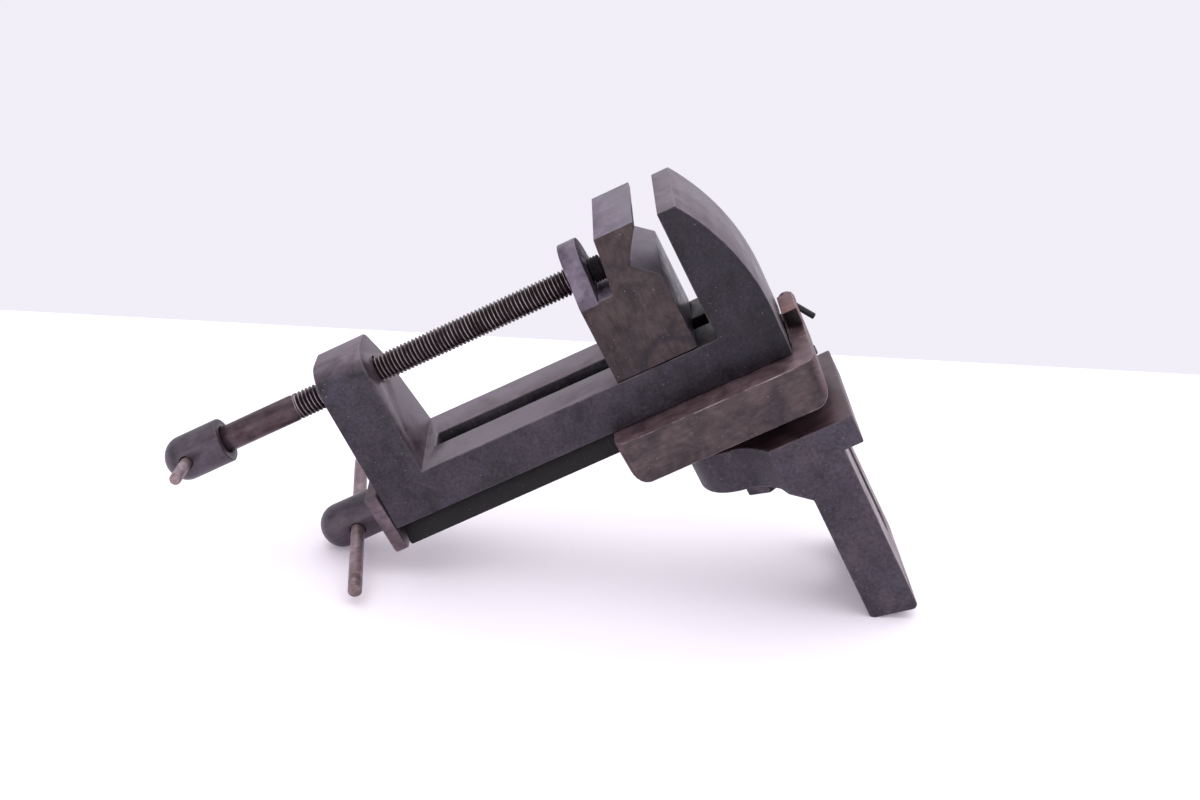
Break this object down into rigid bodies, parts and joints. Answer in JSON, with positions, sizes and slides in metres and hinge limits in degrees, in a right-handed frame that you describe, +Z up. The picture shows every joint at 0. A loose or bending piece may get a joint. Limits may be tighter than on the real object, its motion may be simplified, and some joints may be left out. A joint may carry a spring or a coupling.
{
  "type": "bench vise",
  "caption": "Small bench vise with a screw driven jaw and a cross slide, swivelling on a slotted angle bracket.",
  "frame": {"origin": "middle of the bracket plate's long slot, on the plate's mounting face", "axes": "+X out of the mounting face, +Y across the plate towards the back of the vise, +Z up along the slot towards the jaws"},
  "size_m": [0.1976, 0.0716, 0.1457],
  "materials": {
    "cast_iron_dark": "fine cast, blackened",
    "brown_steel": "satin, brown patina",
    "black_steel": "blackened steel, worn",
    "pale_steel": "bright turned",
    "red_brown_steel": "satin, reddish stain"
  },
  "bodies": {
    "bracket": {"angle_bracket": "cast_iron_dark"},
    "base": {"swivel_disc": "brown_steel", "pivot_bolt": "black_steel", "pivot_washer": "pale_steel", "slide_base": "brown_steel", "feed_nut": "pale_steel", "nut_screw": "black_steel", "stop_block": "red_brown_steel", "stop_block_screw": "black_steel"},
    "lock": {"lock_screw": "red_brown_steel", "lock_pin": "black_steel"},
    "vise": {"vise_body": "cast_iron_dark", "dovetail_rail": "cast_iron_dark", "rail_screw_1": "black_steel", "rail_screw_2": "black_steel", "rail_screw_3": "black_steel", "end_plate": "brown_steel", "end_plate_screw_front": "black_steel", "end_plate_screw_back": "black_steel"},
    "feed": {"feed_screw": "pale_steel", "feed_collar": "pale_steel", "feed_screw_head": "black_steel"},
    "feed_bar": {"feed_tommy_bar": "pale_steel"},
    "jaw": {"movable_jaw": "brown_steel", "jaw_keeper": "pale_steel", "keeper_screw": "black_steel"},
    "clamp": {"clamp_screw": "pale_steel", "clamp_screw_head": "black_steel", "clamp_nut": "black_steel"},
    "clamp_bar": {"clamp_tommy_bar": "pale_steel"}
  },
  "joints": [
    {"name": "base_swivel", "type": "hinge", "parent": "bracket", "child": "base", "pos_m": [-0.0274, 0, 0.0358], "axis": [0, 0, 1], "range_deg": [-90, 90]},
    {"name": "lock_screw_turn", "type": "hinge", "parent": "base", "child": "lock", "pos_m": [0.001, 0.0172, 0.0586], "axis": [0, -1, 0], "range_deg": [-55, 145]},
    {"name": "body_slide", "type": "slide", "parent": "base", "child": "vise", "axis": [1, 0, 0], "range_m": [-0.03, 0]},
    {"name": "feed_screw_turn", "type": "hinge", "parent": "vise", "child": "feed", "pos_m": [-0.1327, 0, 0.0577], "axis": [1, 0, 0], "range_deg": [-10810, 10]},
    {"name": "feed_bar_slide", "type": "slide", "parent": "feed", "child": "feed_bar", "axis": [0, -0.9877, -0.1564], "range_m": [-0.006, 0]},
    {"name": "jaw_slide", "type": "slide", "parent": "vise", "child": "jaw", "axis": [1, 0, 0], "range_m": [-0.055, 0.006]},
    {"name": "clamp_screw_turn", "type": "hinge", "parent": "jaw", "child": "clamp", "pos_m": [-0.0527, -0.0045, 0.1006], "axis": [1, 0, 0], "range_deg": [-15850, 1740]},
    {"name": "clamp_bar_slide", "type": "slide", "parent": "clamp", "child": "clamp_bar", "axis": [0, -0.9962, 0.0872], "range_m": [-0.006, 0.003]}
  ],
  "couplings": [
    {"joint": "feed_screw_turn", "follows": "body_slide", "rad_per_m": 6283.2},
    {"joint": "clamp_screw_turn", "follows": "jaw_slide", "rad_per_m": 5026.5}
  ]
}
